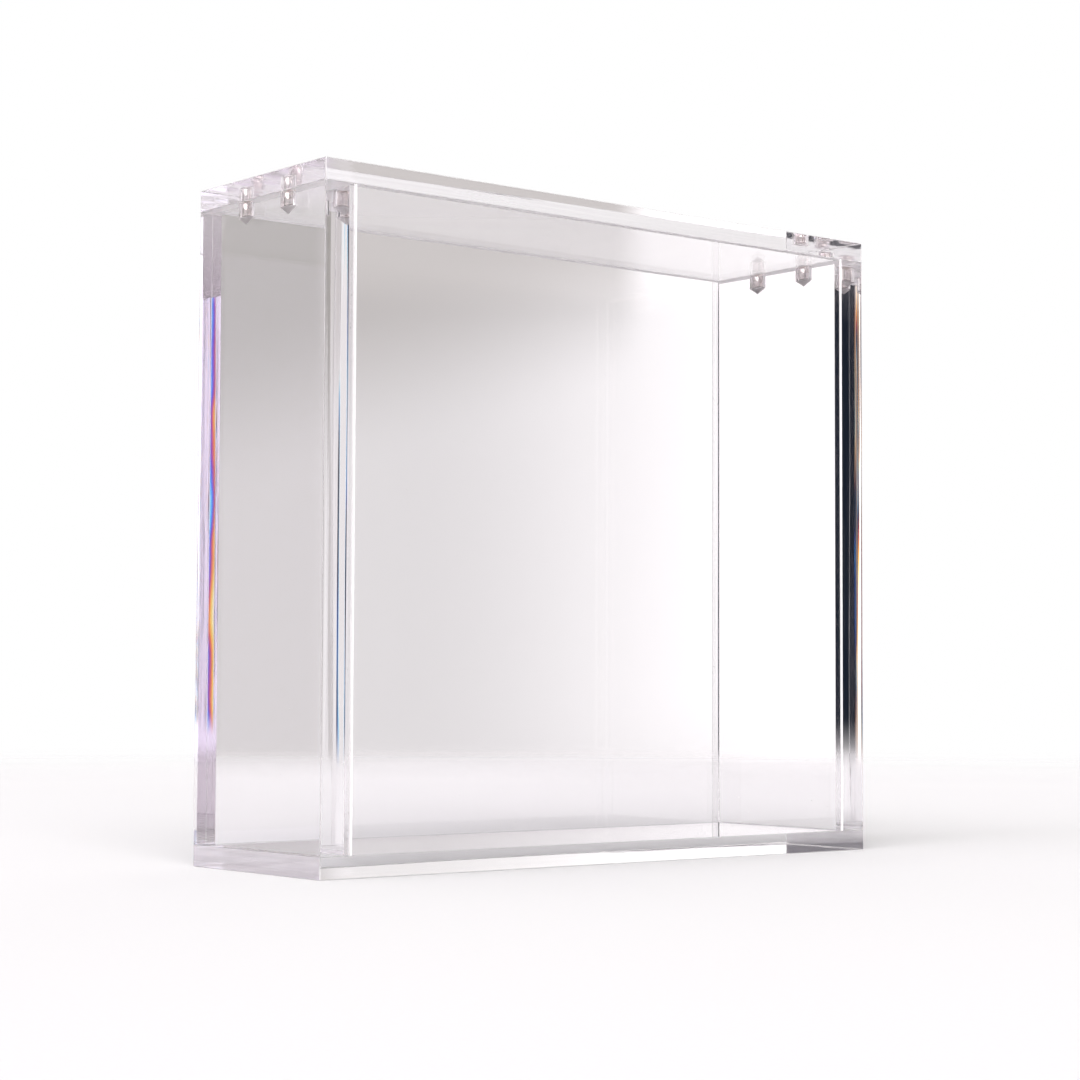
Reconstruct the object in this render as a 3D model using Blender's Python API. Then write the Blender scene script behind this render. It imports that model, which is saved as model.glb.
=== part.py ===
"""Clear acrylic display box with a flat lift-off lid.

Two thick side walls carry the lid's magnets. A thinner front and back panel stand between them, and
all four stand on a base plate. The lid lies on the walls and is held by four pairs of disc magnets,
one of each pair pressed into the lid and the other into the top edge of a side wall.

Metres, +Z up. The origin is on the ground at the centre of the base, and the front faces -Y.
"""

import math

import bmesh
import bpy
from mathutils import Vector

# Outer size
WIDTH = 0.1695
DEPTH = 0.052
HEIGHT = 0.158

# Sheet thicknesses
PLATE = 0.005
SIDE_WALL = 0.008
PANEL = 0.004

# Magnets and the blind holes that hold them
MAGNET_DIAMETER = 0.005
MAGNET_LENGTH = 0.003
MAGNET_EDGE = 0.00025
HOLE_DIAMETER = 0.0053
LID_HOLE_DEPTH = 0.0033
WALL_HOLE_DEPTH = 0.0035
DRILL_POINT_ANGLE = math.radians(118)
MAGNETS_PER_WALL = 2

# Clearance between pieces that touch, and the small flats along every sheet's edges
GAP = 0.0003
ARRIS = 0.0002

ROUND_STEPS = 40
CUT_OVERSHOOT = 0.001

# Heights and places that follow from the sizes above
WALL_BOTTOM = PLATE + GAP
LID_BOTTOM = HEIGHT - PLATE
WALL_TOP = LID_BOTTOM - GAP
INSIDE_WIDTH = WIDTH - 2 * SIDE_WALL
SIDE_WALL_X = (WIDTH - SIDE_WALL) / 2
PANEL_Y = (DEPTH - PANEL) / 2
MAGNET_SPACING = DEPTH / (MAGNETS_PER_WALL + 1)

# Colours
CLEAR_ACRYLIC = (0.93, 0.94, 0.96)
NICKEL = (0.74, 0.73, 0.71)


def clear_scene():
    for thing in list(bpy.data.objects):
        bpy.data.objects.remove(thing, do_unlink=True)


def acrylic_material(name):
    material = bpy.data.materials.new(name)
    material.use_nodes = True
    shader = material.node_tree.nodes["Principled BSDF"]
    shader.inputs["Base Color"].default_value = (*CLEAR_ACRYLIC, 1.0)
    shader.inputs["Roughness"].default_value = 0.02
    shader.inputs["IOR"].default_value = 1.49
    shader.inputs["Transmission Weight"].default_value = 1.0
    return material


def nickel_material(name):
    material = bpy.data.materials.new(name)
    material.use_nodes = True
    shader = material.node_tree.nodes["Principled BSDF"]
    shader.inputs["Base Color"].default_value = (*NICKEL, 1.0)
    shader.inputs["Metallic"].default_value = 1.0
    shader.inputs["Roughness"].default_value = 0.18
    return material


def add_object(name, mesh, location, parent=None):
    thing = bpy.data.objects.new(name, mesh)
    bpy.context.collection.objects.link(thing)
    thing.parent = parent
    thing.location = location
    return thing


def add_empty(name, location):
    return add_object(name, None, location)


def mesh_from(shape, name):
    mesh = bpy.data.meshes.new(name)
    bmesh.ops.recalc_face_normals(shape, faces=shape.faces)
    shape.to_mesh(mesh)
    shape.free()
    return mesh


def sheet(name, size, location, parent):
    """A sheet of acrylic, its size given along X, Y and Z, with its edges slightly broken."""
    shape = bmesh.new()
    bmesh.ops.create_cube(shape, size=1.0)
    bmesh.ops.scale(shape, vec=Vector(size), verts=shape.verts)
    bmesh.ops.bevel(
        shape,
        geom=list(shape.edges),
        offset=ARRIS,
        segments=1,
        affect="EDGES",
    )
    thing = add_object(name, mesh_from(shape, name), location, parent)
    thing.data.materials.append(acrylic_material(name + "_acrylic"))
    return thing


def turned_mesh(name, profile):
    """A solid turned about Z. The profile runs from one end of the axis to the other as (radius, z)."""
    shape = bmesh.new()
    points = [shape.verts.new((radius, 0.0, z)) for radius, z in profile]
    edges = [shape.edges.new(pair) for pair in zip(points, points[1:])]
    bmesh.ops.spin(
        shape,
        geom=points + edges,
        axis=(0.0, 0.0, 1.0),
        cent=(0.0, 0.0, 0.0),
        angle=2 * math.pi,
        steps=ROUND_STEPS,
    )
    bmesh.ops.remove_doubles(shape, verts=shape.verts, dist=1e-6)
    return mesh_from(shape, name)


def magnet_mesh():
    """A disc magnet with broken edges, standing on its origin."""
    radius = MAGNET_DIAMETER / 2
    mesh = turned_mesh(
        "disc_magnet",
        [
            (0.0, 0.0),
            (radius - MAGNET_EDGE, 0.0),
            (radius, MAGNET_EDGE),
            (radius, MAGNET_LENGTH - MAGNET_EDGE),
            (radius - MAGNET_EDGE, MAGNET_LENGTH),
            (0.0, MAGNET_LENGTH),
        ],
    )
    mesh.shade_smooth()
    mesh.set_sharp_from_angle(angle=math.radians(30))
    return mesh


def lid_hole_mesh():
    """Cutter for a flat-ended hole that runs up from the lid's underside, at its origin."""
    radius = HOLE_DIAMETER / 2
    return turned_mesh(
        "lid_hole",
        [
            (0.0, -CUT_OVERSHOOT),
            (radius, -CUT_OVERSHOOT),
            (radius, LID_HOLE_DEPTH),
            (0.0, LID_HOLE_DEPTH),
        ],
    )


def wall_hole_mesh():
    """Cutter for a drilled hole that runs down from a wall's top edge, at its origin, to a cone."""
    radius = HOLE_DIAMETER / 2
    point_length = radius / math.tan(DRILL_POINT_ANGLE / 2)
    return turned_mesh(
        "wall_hole",
        [
            (0.0, -WALL_HOLE_DEPTH - point_length),
            (radius, -WALL_HOLE_DEPTH),
            (radius, CUT_OVERSHOOT),
            (0.0, CUT_OVERSHOOT),
        ],
    )


def cut_hole(sheet_object, cutter_mesh, name, location, parent):
    cutter = add_object(name, cutter_mesh, location, parent)
    cutter.hide_render = True
    cutter.display_type = "WIRE"
    hole = sheet_object.modifiers.new(name, "BOOLEAN")
    hole.operation = "DIFFERENCE"
    hole.solver = "EXACT"
    hole.object = cutter


def magnet_places():
    """The name ending, x and y of each pair of magnets: along both side walls, from front to back."""
    places = []
    for side, x in (("left", -SIDE_WALL_X), ("right", SIDE_WALL_X)):
        for row, end in enumerate(("front", "back"), start=1):
            places.append((f"{side}_{end}", side, x, row * MAGNET_SPACING - DEPTH / 2))
    return places


def add_magnet(name, mesh, location, parent):
    magnet = add_object(name, mesh.copy(), location, parent)
    magnet.data.materials.append(nickel_material(name + "_nickel"))
    return magnet


def build_case(case):
    """The base plate with the four standing sheets, all cemented together."""
    wall_height = WALL_TOP - WALL_BOTTOM
    wall_z = (WALL_TOP + WALL_BOTTOM) / 2
    sheet("base_plate", (WIDTH, DEPTH, PLATE), (0.0, 0.0, PLATE / 2), case)
    side_walls = {}
    for side, x in (("left", -SIDE_WALL_X), ("right", SIDE_WALL_X)):
        size = (SIDE_WALL, DEPTH, wall_height)
        side_walls[side] = sheet(side + "_wall", size, (x, 0.0, wall_z), case)
    for name, y in (("front_panel", -PANEL_Y), ("back_panel", PANEL_Y)):
        size = (INSIDE_WIDTH - 2 * GAP, PANEL, wall_height)
        sheet(name, size, (0.0, y, wall_z), case)
    return side_walls


def build():
    clear_scene()
    case = add_empty("case", (0.0, 0.0, 0.0))
    lid_lift = add_empty("lid_lift", (0.0, 0.0, LID_BOTTOM))
    side_walls = build_case(case)
    lid = sheet("lid", (WIDTH, DEPTH, PLATE), (0.0, 0.0, PLATE / 2), lid_lift)
    magnet = magnet_mesh()
    lid_cutter = lid_hole_mesh()
    wall_cutter = wall_hole_mesh()
    for place, side, x, y in magnet_places():
        cut_hole(lid, lid_cutter, f"lid_hole_{place}", (x, y, 0.0), lid_lift)
        cut_hole(side_walls[side], wall_cutter, f"wall_hole_{place}", (x, y, WALL_TOP), case)
        add_magnet(f"lid_magnet_{place}", magnet, (x, y, 0.0), lid_lift)
        add_magnet(f"wall_magnet_{place}", magnet, (x, y, WALL_TOP - MAGNET_LENGTH), case)


build()
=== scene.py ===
"""The looks of a clear acrylic box with a magnetic lift-off lid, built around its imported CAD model.

Each sheet is made again as an optically joined piece: where two sheets are cemented, light passes
straight from one into the other, and everywhere else it meets polished acrylic and air.
"""

import math

import bmesh
import bpy
from mathutils import Matrix, Vector


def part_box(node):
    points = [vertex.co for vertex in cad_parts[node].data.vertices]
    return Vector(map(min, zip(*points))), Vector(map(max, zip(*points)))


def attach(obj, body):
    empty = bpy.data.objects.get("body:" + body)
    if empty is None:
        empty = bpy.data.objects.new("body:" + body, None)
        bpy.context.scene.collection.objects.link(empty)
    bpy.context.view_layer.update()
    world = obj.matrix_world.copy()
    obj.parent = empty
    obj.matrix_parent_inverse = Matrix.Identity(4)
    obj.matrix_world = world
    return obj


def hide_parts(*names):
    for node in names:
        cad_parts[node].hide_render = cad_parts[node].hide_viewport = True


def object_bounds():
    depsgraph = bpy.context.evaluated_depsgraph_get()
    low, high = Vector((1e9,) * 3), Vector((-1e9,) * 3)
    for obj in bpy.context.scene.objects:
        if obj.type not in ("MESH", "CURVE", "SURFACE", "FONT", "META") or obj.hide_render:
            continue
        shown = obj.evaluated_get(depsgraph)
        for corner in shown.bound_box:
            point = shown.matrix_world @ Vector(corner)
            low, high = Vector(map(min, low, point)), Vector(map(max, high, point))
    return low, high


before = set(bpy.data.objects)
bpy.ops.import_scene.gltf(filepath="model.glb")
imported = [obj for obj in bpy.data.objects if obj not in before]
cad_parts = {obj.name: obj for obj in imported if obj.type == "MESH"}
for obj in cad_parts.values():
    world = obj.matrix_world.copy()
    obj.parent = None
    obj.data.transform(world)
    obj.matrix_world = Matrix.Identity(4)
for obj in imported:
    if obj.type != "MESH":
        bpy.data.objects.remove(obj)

cad_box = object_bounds()

MM = 0.001

# The rounding of the sheets' edges: as usual, beside another sheet, and along a joint filled with cement
ARRIS = 0.2 * MM
FINE_ARRIS = 0.06 * MM
GROOVE = 0.45 * MM
ARRIS_STEPS = 3

# How far below the lid the standing sheets end
LID_REST = 0.05 * MM

# Magnets and their holes
HOLE_DIAMETER = 5.3 * MM
LID_HOLE_DEPTH = 3.3 * MM
WALL_HOLE_DEPTH = 3.5 * MM
DRILL_POINT_ANGLE = math.radians(118)
MAGNET_ROUNDING = 0.3 * MM
ROUND_STEPS = 72
CUT_OVERSHOOT = 0.5 * MM
HOLE_SMOOTH_ANGLE = math.radians(30)
MAGNET_SMOOTH_ANGLE = math.radians(35)

# How near two points or planes count as one, and how squarely a face looks out of the side it is on
MERGE_DISTANCE = 1e-7
TOUCH_DISTANCE = 1e-6
SQUARE_ON = 0.999

# Camera
CAMERA_PLACE = (-0.3914, -0.4759, 0.0436)
CAMERA_AZIMUTH = math.radians(39.259)
CAMERA_PITCH = math.radians(3.192)
CAMERA_ROLL = math.radians(0.2214)
CAMERA_LENS = 83.3
CAMERA_SENSOR = 36.0
CAMERA_NEAR = 0.01
CAMERA_FAR = 50.0

# Studio
FLOOR_RADIUS = 1.2
FLOOR_FADE_START = 0.45
FLOOR_FADE_END = 1.0
FLOOR_DROP = 0.02 * MM
LAMP_PLACE = (-0.5, -0.3, 1.3)
LAMP_SIZE = 1.1
LAMP_POWER = 2.0

# How often light may be bent or mirrored by clear sheets, and how often scattered
CLEAR_BOUNCES = 40
DIFFUSE_BOUNCES = 4

AXES = {"x": 0, "y": 1, "z": 2}


# Node helpers

def new_material(name):
    material = bpy.data.materials.new(name)
    material.use_nodes = True
    tree = material.node_tree
    tree.nodes.clear()
    output = tree.nodes.new("ShaderNodeOutputMaterial")
    return material, tree, output


def node(tree, kind, inputs=None, **settings):
    """A new node, with its settings and its inputs, where an input is a value or another's output."""
    made = tree.nodes.new(kind)
    for key, value in settings.items():
        setattr(made, key, value)
    for key, value in (inputs or {}).items():
        if isinstance(value, bpy.types.NodeSocket):
            tree.links.new(value, made.inputs[key])
        else:
            made.inputs[key].default_value = value
    return made


def maths(tree, operation, first, second=0.0):
    return node(tree, "ShaderNodeMath", {0: first, 1: second}, operation=operation).outputs[0]


def smooth_step(tree, value, start, end, low=0.0, high=1.0):
    made = node(
        tree,
        "ShaderNodeMapRange",
        {"Value": value, "From Min": start, "From Max": end, "To Min": low, "To Max": high},
        interpolation_type="SMOOTHSTEP",
    )
    return made.outputs["Result"]


# A Mix node has sockets for every type of value under the same names, so they are picked by number.

def mix_colours(tree, factor, first, second):
    made = node(tree, "ShaderNodeMix", {0: factor, 6: first, 7: second}, data_type="RGBA")
    return made.outputs[2]


def mix_channels(tree, factors, first, second):
    """Red, green and blue, each mixed by its own factor."""
    made = node(
        tree,
        "ShaderNodeMix",
        {1: factors, 4: first, 5: second},
        data_type="VECTOR",
        factor_mode="NON_UNIFORM",
    )
    return made.outputs[1]


def alike(tree, factor):
    """One factor for red, green and blue."""
    return node(tree, "ShaderNodeCombineXYZ", {0: factor, 1: factor, 2: factor}).outputs[0]


def noise(tree, scale, detail=2.0, roughness=0.5):
    """Noise on the piece's own coordinates, with a scale for each axis in waves per metre."""
    place = node(tree, "ShaderNodeTexCoord").outputs["Object"]
    stretched = node(tree, "ShaderNodeMapping", {"Vector": place, "Scale": scale}).outputs["Vector"]
    return node(
        tree,
        "ShaderNodeTexNoise",
        {"Vector": stretched, "Scale": 1.0, "Detail": detail, "Roughness": roughness},
    ).outputs["Fac"]


def bump(tree, height, distance, normal=None):
    inputs = {"Height": height, "Distance": distance, "Strength": 1.0}
    if normal is not None:
        inputs["Normal"] = normal
    return node(tree, "ShaderNodeBump", inputs).outputs["Normal"]


# Materials

ACRYLIC_TINT = (0.986, 0.982, 0.9865, 1.0)
ACRYLIC_IOR = 1.49


def glass(tree, roughness, normal, colour=ACRYLIC_TINT):
    return node(
        tree,
        "ShaderNodeBsdfGlass",
        {"Color": colour, "Roughness": roughness, "IOR": ACRYLIC_IOR, "Normal": normal},
    ).outputs[0]


def mix_shaders(tree, factor, first, second):
    return node(tree, "ShaderNodeMixShader", {0: factor, 1: first, 2: second}).outputs[0]


def face_material():
    """A cast sheet's own glossy surface, hardly wavy, with a few specks of dust on it."""
    material, tree, output = new_material("acrylic_face")
    waves = noise(tree, (45.0, 45.0, 45.0), detail=1.0)
    clear = glass(tree, 0.0, bump(tree, waves, 4e-6))
    specks = node(
        tree,
        "ShaderNodeTexVoronoi",
        {"Vector": node(tree, "ShaderNodeTexCoord").outputs["Object"], "Scale": 260.0},
    ).outputs["Distance"]
    size = smooth_step(tree, noise(tree, (35.0, 35.0, 35.0)), 0.52, 0.7, 0.0, 0.035)
    speck = maths(tree, "LESS_THAN", specks, size)
    dust = node(tree, "ShaderNodeBsdfDiffuse", {"Color": (0.9, 0.88, 0.87, 1.0)}).outputs[0]
    factor = maths(tree, "MULTIPLY", speck, 0.55)
    tree.links.new(mix_shaders(tree, factor, clear, dust), output.inputs["Surface"])
    return material


def edge_material(thin_axis):
    """A sawn and polished edge, wavy across the sheet's thin direction, with fine marks along it."""
    material, tree, output = new_material(f"acrylic_edge_{thin_axis}")
    fine = [6.0, 6.0, 6.0]
    fine[AXES[thin_axis]] = 900.0
    coarse = [7.0, 7.0, 7.0]
    coarse[AXES[thin_axis]] = 420.0
    swells = bump(tree, noise(tree, coarse, detail=1.5), 55e-6)
    marks = bump(tree, noise(tree, fine, detail=2.0), 2.2e-6, swells)
    tree.links.new(glass(tree, 0.012, marks), output.inputs["Surface"])
    return material


def scattering_shaders(tree, colour, backward=0.5):
    """Light scattered by a matt or frothy layer, to both sides of it. backward is the share sent back."""
    through = node(tree, "ShaderNodeBsdfTranslucent", {"Color": colour}).outputs[0]
    back = node(tree, "ShaderNodeBsdfDiffuse", {"Color": colour}).outputs[0]
    return mix_shaders(tree, backward, through, back)


def sawn_material(name, milkiness):
    """A sheet's sawn end that was polished less well: a little hazy and wavy, with marks along it."""
    material, tree, output = new_material(name)
    marks = bump(tree, noise(tree, (40.0, 40.0, 1300.0), detail=3.0), 10e-6)
    waves = bump(tree, noise(tree, (60.0, 60.0, 160.0)), 50e-6, marks)
    streaks = noise(tree, (20.0, 12.0, 500.0), detail=3.0)
    cloudy = smooth_step(tree, streaks, 0.35, 0.65, 0.6 * milkiness, milkiness)
    pale = scattering_shaders(tree, (0.96, 0.91, 0.97, 1.0))
    tree.links.new(mix_shaders(tree, cloudy, glass(tree, 0.05, waves), pale), output.inputs["Surface"])
    return material


def milled_material():
    """A milled top edge, left matt, with the cutter's marks across it."""
    material, tree, output = new_material("acrylic_milled_edge")
    marks = bump(tree, noise(tree, (1500.0, 1500.0, 1500.0), detail=3.0), 6e-6)
    pale = scattering_shaders(tree, (0.99, 0.95, 0.965, 1.0))
    mixed = mix_shaders(tree, 0.75, glass(tree, 0.2, marks), pale)
    tree.links.new(mixed, output.inputs["Surface"])
    return material


def arris_material(name, milkiness):
    """The narrow scraped flat along a sheet's edge, which is matt and catches the light."""
    material, tree, output = new_material(name)
    marks = bump(tree, noise(tree, (700.0, 700.0, 700.0)), 8e-6)
    pale = scattering_shaders(tree, (0.99, 0.975, 0.98, 1.0), 0.8 * milkiness)
    mixed = mix_shaders(tree, milkiness, glass(tree, 0.15, marks), pale)
    tree.links.new(mixed, output.inputs["Surface"])
    return material


def joint_material(name, haze):
    """A solvent-cemented joint. Light passes straight through, but for bubbles and drawn-out haze."""
    material, tree, output = new_material(name)
    through = node(tree, "ShaderNodeBsdfTransparent", {"Color": (0.995, 0.993, 0.995, 1.0)}).outputs[0]
    streaks = noise(tree, (900.0, 900.0, 14.0), detail=4.0, roughness=0.6)
    cells = node(
        tree,
        "ShaderNodeTexVoronoi",
        {"Vector": node(tree, "ShaderNodeTexCoord").outputs["Object"], "Scale": 900.0},
    ).outputs["Distance"]
    patches = smooth_step(tree, noise(tree, (120.0, 120.0, 120.0), detail=3.0), 0.5, 0.68, 0.0, 0.22)
    bubble = maths(tree, "MULTIPLY", maths(tree, "LESS_THAN", cells, patches), 0.3)
    cloudy = smooth_step(tree, streaks, 0.35, 0.65, 0.25 * haze, haze)
    colour = mix_colours(tree, streaks, (0.75, 0.55, 0.45, 1.0), (0.45, 0.5, 0.62, 1.0))
    froth = scattering_shaders(tree, colour)
    factor = maths(tree, "MAXIMUM", bubble, cloudy)
    tree.links.new(mix_shaders(tree, factor, through, froth), output.inputs["Surface"])
    return material


def drilled_material(name, roughness, milkiness):
    """The matt surface that the drill left, with its rings."""
    material, tree, output = new_material(name)
    rings = bump(tree, noise(tree, (60.0, 60.0, 2600.0)), 4e-6)
    matt = glass(tree, roughness, rings, (0.99, 0.97, 0.975, 1.0))
    pale = scattering_shaders(tree, (0.99, 0.94, 0.95, 1.0))
    tree.links.new(mix_shaders(tree, milkiness, matt, pale), output.inputs["Surface"])
    return material


def nickel_material():
    """Bright nickel plate, slightly dulled and marked by handling."""
    material, tree, output = new_material("nickel_plate")
    cloud = noise(tree, (500.0, 500.0, 500.0), detail=4.0)
    roughness = smooth_step(tree, cloud, 0.35, 0.7, 0.03, 0.12)
    shade = mix_colours(tree, cloud, (0.93, 0.90, 0.88, 1.0), (0.8, 0.76, 0.73, 1.0))
    marks = bump(tree, noise(tree, (300.0, 300.0, 4000.0)), 3e-6)
    metal = node(
        tree,
        "ShaderNodeBsdfPrincipled",
        {"Base Color": shade, "Metallic": 1.0, "Roughness": roughness, "Normal": marks},
    ).outputs[0]
    tree.links.new(metal, output.inputs["Surface"])
    return material


# Geometry

def box_mesh(name, low, high):
    shape = bmesh.new()
    bmesh.ops.create_cube(shape, size=1.0)
    middle = (low + high) / 2
    size = high - low
    place = Matrix.Translation(middle) @ Matrix.Diagonal((*size, 1.0))
    bmesh.ops.transform(shape, matrix=place, verts=shape.verts)
    mesh = bpy.data.meshes.new(name)
    shape.to_mesh(mesh)
    shape.free()
    return mesh


def side_of(normal):
    """The side that a face looks to, such as "+x", or None where it is on an arris."""
    for axis, index in AXES.items():
        if abs(normal[index]) > SQUARE_ON:
            return ("+" if normal[index] > 0 else "-") + axis
    return None


def finished_mesh(thing):
    """Applies an object's modifiers to its mesh."""
    graph = bpy.context.evaluated_depsgraph_get()
    mesh = bpy.data.meshes.new_from_object(thing.evaluated_get(graph))
    old = thing.data
    thing.modifiers.clear()
    thing.data = mesh
    bpy.data.meshes.remove(old)


def edge_sides(edge):
    return frozenset(side_of(face.normal) for face in edge.link_faces)


def round_arrises(thing, widths):
    """Rounds each edge of a box. widths gives the ones that aren't ARRIS wide, by the sides they join."""
    widest = max([ARRIS, *widths.values()])
    shape = bmesh.new()
    shape.from_mesh(thing.data)
    weight = shape.edges.layers.float.new("bevel_weight_edge")
    for edge in shape.edges:
        edge[weight] = widths.get(edge_sides(edge), ARRIS) / widest
    shape.to_mesh(thing.data)
    shape.free()
    bevel = thing.modifiers.new("arris", "BEVEL")
    bevel.limit_method = "WEIGHT"
    bevel.width = widest
    bevel.segments = ARRIS_STEPS
    finished_mesh(thing)


def inside(point, low, high):
    """Whether a point lies in a box or on its surface."""
    return all(
        low[i] - TOUCH_DISTANCE < point[i] < high[i] + TOUCH_DISTANCE
        for i in range(3)
    )


def mark_joints(thing, thin_axis, joints, finishes, grooves):
    """Cuts the sheet's faces along each joint's outline, and gives every face its material.

    joints is a list of (slot, side, low, high): the joint's material slot, the side it is on and the
    box of the sheet that meets it. finishes is the slot of each side that isn't a plain face or edge.
    grooves is the (x, y) of each groove between two sheets that is filled with cement.
    """
    shape = bmesh.new()
    shape.from_mesh(thing.data)
    for _, side, low, high in joints:
        for index in range(3):
            if "xyz"[index] == side[1]:
                continue
            for corner in (low, high):
                normal = Vector((0.0, 0.0, 0.0))
                normal[index] = 1.0
                bmesh.ops.bisect_plane(
                    shape,
                    geom=shape.verts[:] + shape.edges[:] + shape.faces[:],
                    plane_co=corner,
                    plane_no=normal,
                    dist=MERGE_DISTANCE,
                )
    for face in shape.faces:
        side = side_of(face.normal)
        middle = face.calc_center_median()
        kinds = [kind for kind, where, low, high in joints if side == where and inside(middle, low, high)]
        if side is None:
            in_groove = any(math.dist(middle.xy, place) < GROOVE for place in grooves)
            slot = "groove" if in_groove else "arris"
        elif kinds:
            slot = kinds[0]
        elif side in finishes:
            slot = finishes[side]
        elif side[1] == thin_axis:
            slot = "face"
        else:
            slot = "edge"
        face.material_index = SLOTS.index(slot)
    shape.to_mesh(thing.data)
    shape.free()


def turned_mesh(name, profile):
    """A solid turned about Z. The profile runs from one end of the axis to the other as (radius, z)."""
    shape = bmesh.new()
    points = [shape.verts.new((radius, 0.0, z)) for radius, z in profile]
    edges = [shape.edges.new(pair) for pair in zip(points, points[1:])]
    bmesh.ops.spin(
        shape,
        geom=points + edges,
        axis=(0.0, 0.0, 1.0),
        cent=(0.0, 0.0, 0.0),
        angle=2 * math.pi,
        steps=ROUND_STEPS,
    )
    bmesh.ops.remove_doubles(shape, verts=shape.verts, dist=MERGE_DISTANCE)
    bmesh.ops.recalc_face_normals(shape, faces=shape.faces)
    mesh = bpy.data.meshes.new(name)
    shape.to_mesh(mesh)
    shape.free()
    return mesh


def add_object(name, mesh, place=(0.0, 0.0, 0.0)):
    thing = bpy.data.objects.new(name, mesh)
    thing.location = place
    bpy.context.scene.collection.objects.link(thing)
    return thing


def drill(thing, profile, place):
    """Cuts a turned hole out of a sheet. The hole's wall and its end each have a drilled material."""
    mesh = turned_mesh("drill", profile)
    mesh.materials.append(MATERIALS["hole_wall"])
    mesh.materials.append(MATERIALS["hole_end"])
    for polygon in mesh.polygons:
        is_end = abs(polygon.normal.z) > 0.1
        polygon.material_index = 1 if is_end else 0
    cutter = add_object("drill", mesh, place)
    cut = thing.modifiers.new("drill", "BOOLEAN")
    cut.operation = "DIFFERENCE"
    cut.solver = "EXACT"
    cut.material_mode = "TRANSFER"
    cut.object = cutter
    bpy.context.view_layer.update()
    finished_mesh(thing)
    bpy.data.objects.remove(cutter)


def smooth_holes(thing):
    """Shades a sheet's round holes smooth and the rest of it flat."""
    turned = (MATERIALS["hole_wall"], MATERIALS["hole_end"])
    drilled = [i for i, m in enumerate(thing.data.materials) if m in turned]
    thing.data.set_sharp_from_angle(angle=HOLE_SMOOTH_ANGLE)
    for polygon in thing.data.polygons:
        polygon.use_smooth = polygon.material_index in drilled


SLOTS = [
    "face", "edge", "sawn_base", "sawn_lid", "milled", "arris", "groove", "clear_joint", "hazy_joint",
]
MATERIALS = {
    "face": face_material(),
    "sawn_base": sawn_material("acrylic_base_end", 0.45),
    "sawn_lid": sawn_material("acrylic_lid_end", 0.16),
    "milled": milled_material(),
    "edge_x": edge_material("x"),
    "edge_y": edge_material("y"),
    "edge_z": edge_material("z"),
    "arris": arris_material("acrylic_arris", 0.4),
    "groove": arris_material("acrylic_groove", 0.97),
    "clear_joint": joint_material("clear_joint", 0.04),
    "hazy_joint": joint_material("hazy_joint", 0.12),
    "hole_wall": drilled_material("drilled_wall", 0.03, 0.06),
    "hole_end": drilled_material("drilled_end", 0.3, 0.65),
    "nickel": nickel_material(),
}


def make_sheet(cad_node, low, high, thin_axis, body,
               widths, finishes, joints=(), grooves=(), holes=()):
    """The piece that stands for one CAD sheet, from its low corner to its high corner."""
    name = cad_node + "_sheet"
    sheet = add_object(name, box_mesh(name, low, high))
    round_arrises(sheet, widths)
    for slot_name in SLOTS:
        key = "edge_" + thin_axis if slot_name == "edge" else slot_name
        sheet.data.materials.append(MATERIALS[key])
    mark_joints(sheet, thin_axis, joints, finishes, grooves)
    for profile, place in holes:
        drill(sheet, profile, place)
    smooth_holes(sheet)
    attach(sheet, body)
    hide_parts(cad_node)


def wall_hole():
    """Half the outline of a hole that is drilled down into a wall's top edge and ends in a cone."""
    radius = HOLE_DIAMETER / 2
    point_length = radius / math.tan(DRILL_POINT_ANGLE / 2)
    return [
        (0.0, -WALL_HOLE_DEPTH - point_length),
        (radius, -WALL_HOLE_DEPTH),
        (radius, CUT_OVERSHOOT),
        (0.0, CUT_OVERSHOOT),
    ]


def lid_hole():
    """Half the outline of a flat-ended hole that runs up from the lid's underside."""
    radius = HOLE_DIAMETER / 2
    return [
        (0.0, -CUT_OVERSHOOT),
        (radius, -CUT_OVERSHOOT),
        (radius, LID_HOLE_DEPTH),
        (0.0, LID_HOLE_DEPTH),
    ]


def edge_widths(width, *pairs):
    """A table that gives one width to the arrises between pairs of sides."""
    return {frozenset(pair): width for pair in pairs}


def fine_arrises(*sides):
    """The widths of the arrises round the sides that lie against another sheet."""
    pairs = [(side, other) for side in sides for other in ("-x", "+x", "-y", "+y")]
    return edge_widths(FINE_ARRIS, *pairs)


def magnet_nodes(start):
    """The magnets whose names have this start."""
    return [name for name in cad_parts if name.startswith(start)]


def middle_of(name):
    low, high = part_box(name)
    return (low + high) / 2


# The sides whose finish isn't that of a plain face or edge
SAWN_BASE_ENDS = {"-x": "sawn_base", "+x": "sawn_base"}
SAWN_LID_ENDS = {"-x": "sawn_lid", "+x": "sawn_lid"}
MILLED_TOP = {"+z": "milled"}


def standing_boxes():
    """The corners of the four standing sheets, made longer so that they meet the base and each other.

    The CAD keeps a small gap at every joint, which clear sheets would show as a bright line.
    """
    boxes = {name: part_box(name) for name in ("left_wall", "right_wall", "front_panel", "back_panel")}
    for low, high in boxes.values():
        low.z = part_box("base_plate")[1].z
        high.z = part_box("lid")[0].z - LID_REST
    for name in ("front_panel", "back_panel"):
        low, high = boxes[name]
        low.x = boxes["left_wall"][1].x
        high.x = boxes["right_wall"][0].x
    return boxes


def make_base(standing):
    low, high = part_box("base_plate")
    make_sheet(
        "base_plate", low, high, "z", "case",
        fine_arrises("+z"),
        SAWN_BASE_ENDS,
        joints=[("clear_joint", "+z", *box) for box in standing.values()],
    )


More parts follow.
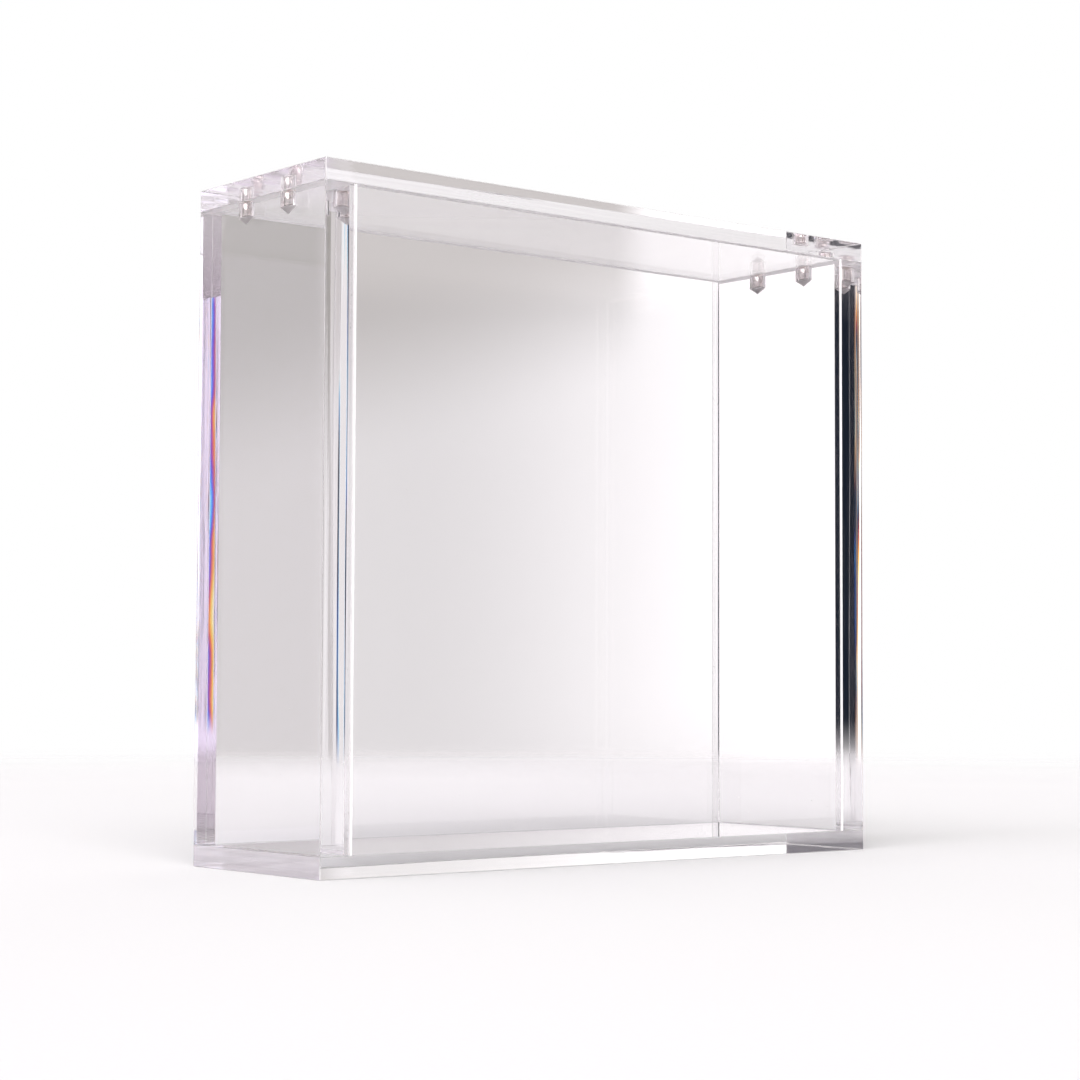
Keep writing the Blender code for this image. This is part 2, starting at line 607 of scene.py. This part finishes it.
def make_side_wall(side, inner, standing, grooves):
    """One side wall. inner is its side that looks into the box."""
    name = side + "_wall"
    low, high = standing[name]
    holes = []
    for magnet in magnet_nodes(f"wall_magnet_{side}_"):
        centre = middle_of(magnet)
        holes.append((wall_hole(), (centre.x, centre.y, high.z)))
    widths = {
        **fine_arrises("-z", "+z"),
        **edge_widths(0.0, (inner, "-z")),
        **edge_widths(GROOVE, (inner, "-y")),
        **edge_widths(FINE_ARRIS, (inner, "+y")),
    }
    make_sheet(
        name, low, high, "x", "case",
        widths,
        MILLED_TOP,
        joints=[
            ("clear_joint", inner, *standing["front_panel"]),
            ("hazy_joint", inner, *standing["back_panel"]),
            ("clear_joint", "-z", *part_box("base_plate")),
        ],
        grooves=grooves,
        holes=holes,
    )


def make_panel(name, inner, outer, joint_arris, standing, grooves):
    """The front or back panel. inner is its side that looks into the box, and outer the one opposite."""
    low, high = standing[name]
    widths = {
        **fine_arrises("-z", "+z"),
        **edge_widths(0.0, (inner, "-x"), (inner, "+x"), (inner, "-z")),
        **edge_widths(joint_arris, (outer, "-x"), (outer, "+x")),
    }
    make_sheet(
        name, low, high, "y", "case",
        widths,
        MILLED_TOP,
        joints=[
            ("clear_joint", "-x", *standing["left_wall"]),
            ("clear_joint", "+x", *standing["right_wall"]),
            ("clear_joint", "-z", *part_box("base_plate")),
        ],
        grooves=grooves,
    )


def make_case():
    """The base and the standing sheets. Only the joints at the front have a groove full of cement."""
    standing = standing_boxes()
    front_low, front_high = standing["front_panel"]
    grooves = [(x, front_low.y) for x in (front_low.x, front_high.x)]
    make_base(standing)
    make_side_wall("left", "+x", standing, grooves)
    make_side_wall("right", "-x", standing, grooves)
    make_panel("front_panel", "+y", "-y", GROOVE, standing, grooves)
    make_panel("back_panel", "-y", "+y", FINE_ARRIS, standing, grooves)


def make_lid():
    low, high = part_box("lid")
    holes = []
    for magnet in magnet_nodes("lid_magnet_"):
        centre = middle_of(magnet)
        holes.append((lid_hole(), (centre.x, centre.y, low.z)))
    make_sheet(
        "lid", low, high, "z", "lid",
        fine_arrises("-z"),
        SAWN_LID_ENDS,
        holes=holes,
    )


def magnet_profile(radius, length):
    """Half the outline of a disc with rounded rims, from the middle of its lower end."""
    points = [(0.0, 0.0)]
    for turn in range(ARRIS_STEPS + 2):
        angle = turn / (ARRIS_STEPS + 1) * math.pi / 2
        points.append((
            radius - MAGNET_ROUNDING * (1 - math.sin(angle)),
            MAGNET_ROUNDING * (1 - math.cos(angle)),
        ))
    upper = [(r, length - z) for r, z in reversed(points)]
    return points + upper


def make_magnets():
    for start, body in (("wall_magnet_", "case"), ("lid_magnet_", "lid")):
        for cad_node in magnet_nodes(start):
            low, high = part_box(cad_node)
            mesh = turned_mesh(cad_node, magnet_profile((high.x - low.x) / 2, high.z - low.z))
            mesh.materials.append(MATERIALS["nickel"])
            mesh.shade_smooth()
            mesh.set_sharp_from_angle(angle=MAGNET_SMOOTH_ANGLE)
            centre = (low + high) / 2
            magnet = add_object(cad_node + "_disc", mesh, (centre.x, centre.y, low.z))
            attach(magnet, body)
            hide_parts(cad_node)


# Studio

class Card:
    """A patch of the studio as a range of azimuth and elevation, in degrees, with soft borders.

    lean is how much higher it lies for each degree of azimuth past LEAN_FROM. fringe is how far apart
    its red and blue borders lie: it stands for the colours that acrylic spreads light into.
    """

    def __init__(self, colour, azimuth, elevation, soft, fringe=0.0, lean=0.0):
        self.colour = colour
        self.azimuth = azimuth
        self.elevation = elevation
        self.soft_across, self.soft_up = soft
        self.fringe = fringe
        self.lean = lean


# Azimuth 0 is behind the box, 90 to its right, 180 in front of it. Later cards lie over earlier ones.
LEAN_FROM = 36

# Where each bar of the window's frame starts, and its width
WINDOW_BARS = ((148.2, 0.12), (148.5, 0.15), (148.9, 0.25), (149.6, 0.4), (150.4, 0.8))
CARDS = [
    # overhead softbox, key light in front and to the left, fill light on the left
    Card((0.6, 0.595, 0.595), (-400, 400), (38, 120), (8, 10)),
    Card((4.2, 4.1, 4.1), (-172, -100), (10.5, 58), (5, 1.5)),
    Card((3.2, 3.1, 3.3), (-127, -68), (15, 50), (2, 3)),
    # the backdrop's dim left end, its light right end, and the grey upper part
    Card((0.63, 0.605, 0.595), (-20, 34.5), (-3, 34), (0.5, 1)),
    Card((1.45, 1.42, 1.42), (41, 78), (-3, 30), (5, 3)),
    Card((0.40, 0.38, 0.36), (-20, 34.5), (7.2, 34), (0.5, 2.2), lean=0.3),
    Card((0.65, 0.62, 0.60), (34.5, 41.4), (7.2, 34), (0.5, 2.2), lean=0.3),
    Card((0.9, 0.81, 0.92), (-20, 34.3), (11.0, 34), (0.3, 0.5)),
    # dark room behind and to the left, and two dark corners
    Card((0.010, 0.014, 0.022), (-66, -34.92), (-1.6, 13), (0.15, 0.8), 0.08),
    Card((0.03, 0.04, 0.07), (127, 145.0), (-2, 8.8), (0.1, 0.6)),
    Card((0.03, 0.04, 0.07), (-137, -131), (-2, 9), (1, 1)),
    # things to the right, which only the box's right edge shows
    Card((0.03, 0.045, 0.075), (46.3, 47.8), (-1.6, 9), (0.15, 0.8), 0.1),
    Card((1.0, 0.78, 0.62), (46.75, 46.95), (-1.6, 9), (0.12, 0.8), 0.05),
    # a window in front and to the right, with the bars of its frame
    Card((1.6, 1.55, 1.75), (145.1, 156), (-2, 14), (0.1, 0.8)),
    *[Card((0.01, 0.015, 0.04), (start, start + width), (-1, 8.7), (0.05, 0.3), 0.05)
      for start, width in WINDOW_BARS],
]

# What lies behind the cards: the room in front of the box, which turns into the backdrop behind it
# as the cosine of the azimuth rises, and the table below it, which starts at these elevations
BACKDROP = (0.93, 0.905, 0.90)
ROOM = (0.56, 0.545, 0.555)
ROOM_TO_BACKDROP = (-0.2, 0.5)
TABLE_LIGHT = (0.93, 0.91, 0.91)
TABLE_BORDER = (-3.5, -1.2)


def band(tree, value, low, high, soft):
    """1 between low and high and 0 outside, with a soft step at both."""
    rise = smooth_step(tree, value, low - soft, low + soft)
    fall = smooth_step(tree, value, high - soft, high + soft, 1.0, 0.0)
    return maths(tree, "MULTIPLY", rise, fall)


def card_factors(tree, card, azimuth, elevation):
    """How much of the card is seen, for red, green and blue, whose borders lie a little apart."""
    leaning = maths(tree, "MULTIPLY", maths(tree, "SUBTRACT", azimuth, LEAN_FROM), card.lean)
    height = band(tree, maths(tree, "SUBTRACT", elevation, leaning), *card.elevation, card.soft_up)
    masks = []
    for shift in (-card.fringe, 0.0, card.fringe):
        moved = maths(tree, "ADD", azimuth, shift)
        across = band(tree, moved, *card.azimuth, card.soft_across)
        masks.append(maths(tree, "MULTIPLY", across, height))
    return node(tree, "ShaderNodeCombineXYZ", dict(enumerate(masks))).outputs[0]


def make_surroundings():
    """Plain white behind the box, and around it what the clear sheets bend and mirror."""
    world = bpy.data.worlds.new("studio")
    bpy.context.scene.world = world
    world.use_nodes = True
    tree = world.node_tree
    tree.nodes.clear()
    direction = node(tree, "ShaderNodeTexCoord").outputs["Generated"]
    x, y, z = node(tree, "ShaderNodeSeparateXYZ", {0: direction}).outputs
    azimuth = maths(tree, "MULTIPLY", maths(tree, "ARCTAN2", x, y), math.degrees(1.0))
    elevation = maths(tree, "MULTIPLY", maths(tree, "ARCSINE", z), math.degrees(1.0))
    behind = maths(tree, "COSINE", maths(tree, "MULTIPLY", azimuth, math.radians(1.0)))
    colour = mix_channels(tree, alike(tree, smooth_step(tree, behind, *ROOM_TO_BACKDROP)), ROOM, BACKDROP)
    for card in CARDS:
        factors = card_factors(tree, card, azimuth, elevation)
        colour = mix_channels(tree, factors, colour, card.colour)
    table = smooth_step(tree, elevation, *TABLE_BORDER, 1.0, 0.0)
    colour = mix_channels(tree, alike(tree, table), colour, TABLE_LIGHT)
    studio = node(tree, "ShaderNodeBackground", {"Color": colour}).outputs[0]
    white = node(tree, "ShaderNodeBackground", {"Color": (1.0, 1.0, 1.0, 1.0)}).outputs[0]
    seen = node(tree, "ShaderNodeLightPath").outputs["Is Camera Ray"]
    output = node(tree, "ShaderNodeOutputWorld")
    tree.links.new(mix_shaders(tree, seen, studio, white), output.inputs["Surface"])


def floor_material():
    """Pale matt board, which fades into the white round it."""
    material, tree, output = new_material("pale_board")
    place = node(tree, "ShaderNodeTexCoord").outputs["Object"]
    distance = node(tree, "ShaderNodeVectorMath", {0: place}, operation="LENGTH").outputs["Value"]
    fade = smooth_step(tree, distance, FLOOR_FADE_START, FLOOR_FADE_END)
    grain = noise(tree, (900.0, 900.0, 900.0), detail=3.0)
    shade = mix_colours(tree, grain, (0.765, 0.762, 0.759, 1.0), (0.785, 0.782, 0.779, 1.0))
    board = node(
        tree,
        "ShaderNodeBsdfDiffuse",
        {"Color": shade, "Normal": bump(tree, grain, 20e-6)},
    ).outputs[0]
    clear = node(tree, "ShaderNodeBsdfTransparent").outputs[0]
    tree.links.new(mix_shaders(tree, fade, board, clear), output.inputs["Surface"])
    return material


def make_floor():
    shape = bmesh.new()
    bmesh.ops.create_circle(shape, cap_ends=True, radius=FLOOR_RADIUS, segments=96)
    mesh = bpy.data.meshes.new("floor")
    shape.to_mesh(mesh)
    shape.free()
    mesh.materials.append(floor_material())
    floor = add_object("floor", mesh, (0.0, 0.0, cad_box[0].z - FLOOR_DROP))


def make_lamp():
    data = bpy.data.lights.new("soft_lamp", "AREA")
    data.shape = "DISK"
    data.size = LAMP_SIZE
    data.energy = LAMP_POWER
    lamp = bpy.data.objects.new("soft_lamp", data)
    lamp.location = LAMP_PLACE
    aim = middle_of("base_plate") - lamp.location
    lamp.rotation_mode = "QUATERNION"
    lamp.rotation_quaternion = aim.to_track_quat("-Z", "Y")
    bpy.context.scene.collection.objects.link(lamp)


def make_camera():
    data = bpy.data.cameras.new("camera")
    data.lens = CAMERA_LENS
    data.sensor_width = CAMERA_SENSOR
    data.clip_start = CAMERA_NEAR
    data.clip_end = CAMERA_FAR
    camera = bpy.data.objects.new("camera", data)
    bpy.context.scene.collection.objects.link(camera)
    forward = Vector((
        math.sin(CAMERA_AZIMUTH) * math.cos(CAMERA_PITCH),
        math.cos(CAMERA_AZIMUTH) * math.cos(CAMERA_PITCH),
        math.sin(CAMERA_PITCH),
    ))
    level = Vector((math.cos(CAMERA_AZIMUTH), -math.sin(CAMERA_AZIMUTH), 0.0))
    upright = level.cross(forward)
    right = level * math.cos(CAMERA_ROLL) + upright * math.sin(CAMERA_ROLL)
    up = upright * math.cos(CAMERA_ROLL) - level * math.sin(CAMERA_ROLL)
    axes = Matrix((right, up, -forward)).transposed().to_4x4()
    camera.matrix_world = Matrix.Translation(Vector(CAMERA_PLACE)) @ axes
    bpy.context.scene.camera = camera


def set_light_paths():
    """Clear sheets need many bounces, since light runs along inside them. White stays plain white."""
    scene = bpy.context.scene
    scene.cycles.max_bounces = CLEAR_BOUNCES
    scene.cycles.transmission_bounces = CLEAR_BOUNCES
    scene.cycles.glossy_bounces = CLEAR_BOUNCES
    scene.cycles.transparent_max_bounces = CLEAR_BOUNCES
    scene.cycles.diffuse_bounces = DIFFUSE_BOUNCES
    scene.cycles.use_denoising = True
    scene.view_settings.view_transform = "Standard"
    scene.view_settings.look = "None"


make_case()
make_lid()
make_magnets()
make_surroundings()
make_floor()
make_lamp()
make_camera()
set_light_paths()
